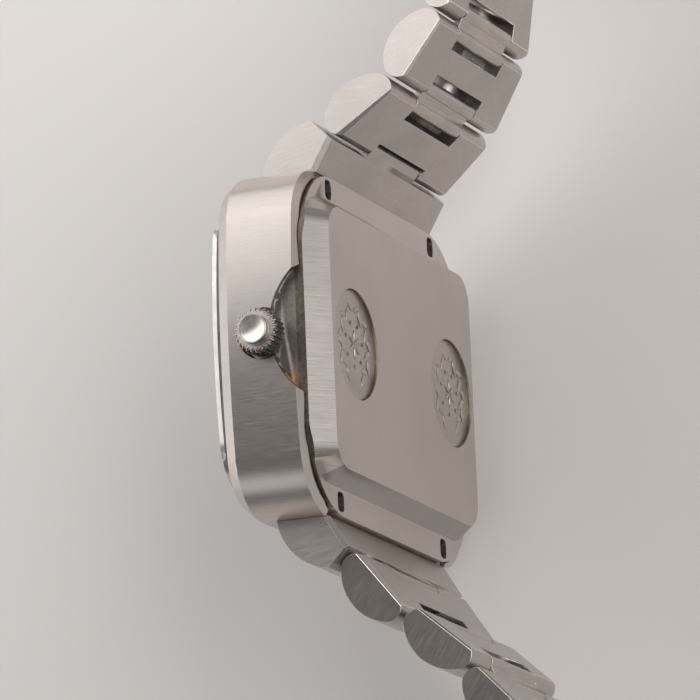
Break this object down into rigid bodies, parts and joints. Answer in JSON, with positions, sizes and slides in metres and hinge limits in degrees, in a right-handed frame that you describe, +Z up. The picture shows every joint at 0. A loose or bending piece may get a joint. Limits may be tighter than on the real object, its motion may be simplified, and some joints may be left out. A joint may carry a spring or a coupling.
{
  "type": "chronograph wristwatch",
  "caption": "Wide cushion-cased wristwatch with a raised case back, crown, sprung pushers and a tapering link bracelet that ends in a folding clasp.",
  "frame": {"origin": "centre of the case back's pad, on its outer face", "axes": "+X along the bracelet towards six o'clock, +Y out through the dial, +Z up towards the crown; the watch lies on its pusher flank"},
  "size_m": [0.1147, 0.0627, 0.0521],
  "materials": {
    "brushed_steel": "brushed, lightly worn",
    "link_steel": "diagonally brushed, worn, with bright edges",
    "connector_steel": "drawn, half bright",
    "polished_steel": "polished",
    "blade_steel": "pressed strip, half bright",
    "pin_steel": "ground",
    "work_steel": "turned",
    "plated_brass": "nickel plated",
    "gilt_brass": "gilt",
    "clear_glass": "clear mineral glass",
    "black_rubber": "dull",
    "ring_plastic": "moulded",
    "dark_paint": "satin",
    "white_paint": "satin",
    "orange_paint": "satin"
  },
  "bodies": {
    "head": {"case_middle": "brushed_steel", "bezel": "polished_steel", "crystal": "clear_glass", "crystal_gasket": "black_rubber", "flange_ring": "dark_paint", "dial": "dark_paint", "hour_markers": "white_paint", "movement_ring": "ring_plastic", "main_plate": "plated_brass", "movement_bridge": "plated_brass", "case_back": "brushed_steel", "back_gasket": "black_rubber", "crown_tube": "work_steel", "pusher_tubes": "work_steel", "six_end_piece": "brushed_steel", "twelve_end_piece": "brushed_steel", "spring_bars": "pin_steel", "start_pusher_spring": "work_steel", "reset_pusher_spring": "work_steel"},
    "crown_lever": {"setting_lever": "work_steel"},
    "crown_and_stem": {"crown": "polished_steel", "winding_stem": "work_steel"},
    "start_pusher": {"start_pusher": "polished_steel"},
    "reset_pusher": {"reset_pusher": "polished_steel"},
    "barrel": {"mainspring_barrel": "gilt_brass"},
    "balance": {"balance_wheel": "gilt_brass"},
    "minute_arbor": {"cannon_pinion": "work_steel", "minute_hand": "white_paint"},
    "minute_wheel": {"minute_wheel": "gilt_brass"},
    "hour_arbor": {"hour_wheel": "gilt_brass", "hour_hand": "white_paint"},
    "chrono_seconds": {"chrono_seconds_hand": "orange_paint"},
    "running_seconds": {"running_seconds_hand": "white_paint"},
    "minute_counter": {"minute_counter_hand": "white_paint"},
    "six_link_1": {"six_link_1": "link_steel", "six_pins_1": "pin_steel"},
    "six_connector_1": {"six_connector_1": "connector_steel"},
    "six_link_2": {"six_link_2": "link_steel", "six_pins_2": "pin_steel"},
    "six_connector_2": {"six_connector_2": "connector_steel"},
    "six_link_3": {"six_link_3": "link_steel", "six_pins_3": "pin_steel"},
    "six_connector_3": {"six_connector_3": "connector_steel"},
    "six_link_4": {"six_link_4": "link_steel", "six_pins_4": "pin_steel"},
    "six_connector_4": {"six_connector_4": "connector_steel"},
    "clasp_cover": {"clasp_cover": "brushed_steel"},
    "clasp_outer_blade": {"clasp_outer_blade": "blade_steel"},
    "clasp_inner_blade": {"clasp_inner_blade": "blade_steel"},
    "twelve_link_1": {"twelve_link_1": "link_steel", "twelve_pins_1": "pin_steel"},
    "twelve_connector_1": {"twelve_connector_1": "connector_steel"},
    "twelve_link_2": {"twelve_link_2": "link_steel", "twelve_pins_2": "pin_steel"},
    "twelve_connector_2": {"twelve_connector_2": "connector_steel"},
    "twelve_link_3": {"twelve_link_3": "link_steel", "twelve_pins_3": "pin_steel"},
    "twelve_connector_3": {"twelve_connector_3": "connector_steel"},
    "twelve_link_4": {"twelve_link_4": "link_steel", "twelve_pins_4": "pin_steel"}
  },
  "joints": [
    {"name": "crown_pull", "type": "slide", "parent": "head", "child": "crown_lever", "axis": [0, 0, 1], "range_m": [0, 0.0012]},
    {"name": "crown_turn", "type": "hinge", "parent": "crown_lever", "child": "crown_and_stem", "pos_m": [0, 0.0064, 0.022], "axis": [0, 0, 1], "continuous": true},
    {"name": "start_press", "type": "slide", "parent": "head", "child": "start_pusher", "axis": [0, 0, 1], "range_m": [0, 0.0009], "stiffness_N_per_m": 1200, "springref_m": -0.001, "deforming": ["start_pusher_spring"]},
    {"name": "reset_press", "type": "slide", "parent": "head", "child": "reset_pusher", "axis": [0, 0, 1], "range_m": [0, 0.0009], "stiffness_N_per_m": 1200, "springref_m": -0.001, "deforming": ["reset_pusher_spring"]},
    {"name": "barrel_turn", "type": "hinge", "parent": "head", "child": "barrel", "pos_m": [0.00639, 0.004, -0.00561], "axis": [0, -1, 0], "continuous": true},
    {"name": "balance_swing", "type": "hinge", "parent": "head", "child": "balance", "pos_m": [-0.00759, 0.004, 0.0054], "axis": [0, -1, 0], "range_deg": [-150, 150]},
    {"name": "minute_turn", "type": "hinge", "parent": "head", "child": "minute_arbor", "pos_m": [0, 0.009, 0], "axis": [0, -1, 0], "continuous": true},
    {"name": "minute_wheel_turn", "type": "hinge", "parent": "head", "child": "minute_wheel", "pos_m": [0.0024, 0.008, 0], "axis": [0, -1, 0], "continuous": true},
    {"name": "hour_turn", "type": "hinge", "parent": "head", "child": "hour_arbor", "pos_m": [0, 0.009, 0], "axis": [0, -1, 0], "continuous": true},
    {"name": "chrono_seconds_turn", "type": "hinge", "parent": "head", "child": "chrono_seconds", "pos_m": [0, 0.009, 0], "axis": [0, -1, 0], "continuous": true},
    {"name": "running_seconds_turn", "type": "hinge", "parent": "head", "child": "running_seconds", "pos_m": [0, 0.009, 0.0082], "axis": [0, -1, 0], "continuous": true},
    {"name": "minute_counter_turn", "type": "hinge", "parent": "head", "child": "minute_counter", "pos_m": [0, 0.009, -0.0082], "axis": [0, -1, 0], "continuous": true},
    {"name": "six_link_1_turn", "type": "hinge", "parent": "head", "child": "six_link_1", "pos_m": [0.02295, 0.0005, 0], "axis": [0, 0, 1], "range_deg": [-12, 18]},
    {"name": "six_connector_1_turn", "type": "hinge", "parent": "six_link_1", "child": "six_connector_1", "pos_m": [0.02687, -0.00443, 0], "axis": [0, 0, 1], "range_deg": [-16, 2]},
    {"name": "six_link_2_turn", "type": "hinge", "parent": "six_connector_1", "child": "six_link_2", "pos_m": [0.02864, -0.00605, 0], "axis": [0, 0, 1], "range_deg": [-12, 2]},
    {"name": "six_connector_2_turn", "type": "hinge", "parent": "six_link_2", "child": "six_connector_2", "pos_m": [0.03386, -0.00957, 0], "axis": [0, 0, 1], "range_deg": [-16, 0]},
    {"name": "six_link_3_turn", "type": "hinge", "parent": "six_connector_2", "child": "six_link_3", "pos_m": [0.03604, -0.01059, 0], "axis": [0, 0, 1], "range_deg": [-16, 0]},
    {"name": "six_connector_3_turn", "type": "hinge", "parent": "six_link_3", "child": "six_connector_3", "pos_m": [0.04219, -0.01195, 0], "axis": [0, 0, 1], "range_deg": [-10, 6]},
    {"name": "six_link_4_turn", "type": "hinge", "parent": "six_connector_3", "child": "six_link_4", "pos_m": [0.0445, -0.01261, 0], "axis": [0, 0, 1], "range_deg": [-10, 6]},
    {"name": "six_connector_4_turn", "type": "hinge", "parent": "six_link_4", "child": "six_connector_4", "pos_m": [0.05034, -0.01497, 0], "axis": [0, 0, 1], "range_deg": [-6, 6]},
    {"name": "clasp_cover_turn", "type": "hinge", "parent": "six_connector_4", "child": "clasp_cover", "pos_m": [0.05242, -0.01617, 0], "axis": [0, 0, 1], "range_deg": [-6, 8]},
    {"name": "outer_blade_turn", "type": "hinge", "parent": "clasp_cover", "child": "clasp_outer_blade", "pos_m": [0.0645, -0.04756, 0], "axis": [0, 0, 1], "range_deg": [0, 135]},
    {"name": "inner_blade_turn", "type": "hinge", "parent": "clasp_outer_blade", "child": "clasp_inner_blade", "pos_m": [0.05458, -0.0211, 0], "axis": [0, 0, -1], "range_deg": [0, 130]},
    {"name": "twelve_link_1_turn", "type": "hinge", "parent": "head", "child": "twelve_link_1", "pos_m": [-0.02295, 0.0005, 0], "axis": [0, 0, -1], "range_deg": [-30, 1]},
    {"name": "twelve_connector_1_turn", "type": "hinge", "parent": "twelve_link_1", "child": "twelve_connector_1", "pos_m": [-0.02814, -0.00307, 0], "axis": [0, 0, -1], "range_deg": [-5, 15]},
    {"name": "twelve_link_2_turn", "type": "hinge", "parent": "twelve_connector_1", "child": "twelve_link_2", "pos_m": [-0.02912, -0.00526, 0], "axis": [0, 0, -1], "range_deg": [-18, 3]},
    {"name": "twelve_connector_2_turn", "type": "hinge", "parent": "twelve_link_2", "child": "twelve_connector_2", "pos_m": [-0.03333, -0.00994, 0], "axis": [0, 0, -1], "range_deg": [-18, 2]},
    {"name": "twelve_link_3_turn", "type": "hinge", "parent": "twelve_connector_2", "child": "twelve_link_3", "pos_m": [-0.03554, -0.01088, 0], "axis": [0, 0, -1], "range_deg": [-14, 6]},
    {"name": "twelve_connector_3_turn", "type": "hinge", "parent": "twelve_link_3", "child": "twelve_connector_3", "pos_m": [-0.04022, -0.0151, 0], "axis": [0, 0, -1], "range_deg": [-10, 6]},
    {"name": "twelve_link_4_turn", "type": "hinge", "parent": "twelve_connector_3", "child": "twelve_link_4", "pos_m": [-0.04177, -0.01693, 0], "axis": [0, 0, -1], "range_deg": [-10, 6]}
  ],
  "couplings": [
    {"joint": "minute_wheel_turn", "follows": "minute_turn", "ratio": -0.33333},
    {"joint": "hour_turn", "follows": "minute_turn", "ratio": 0.083333},
    {"joint": "minute_counter_turn", "follows": "chrono_seconds_turn", "ratio": 0.033333}
  ]
}
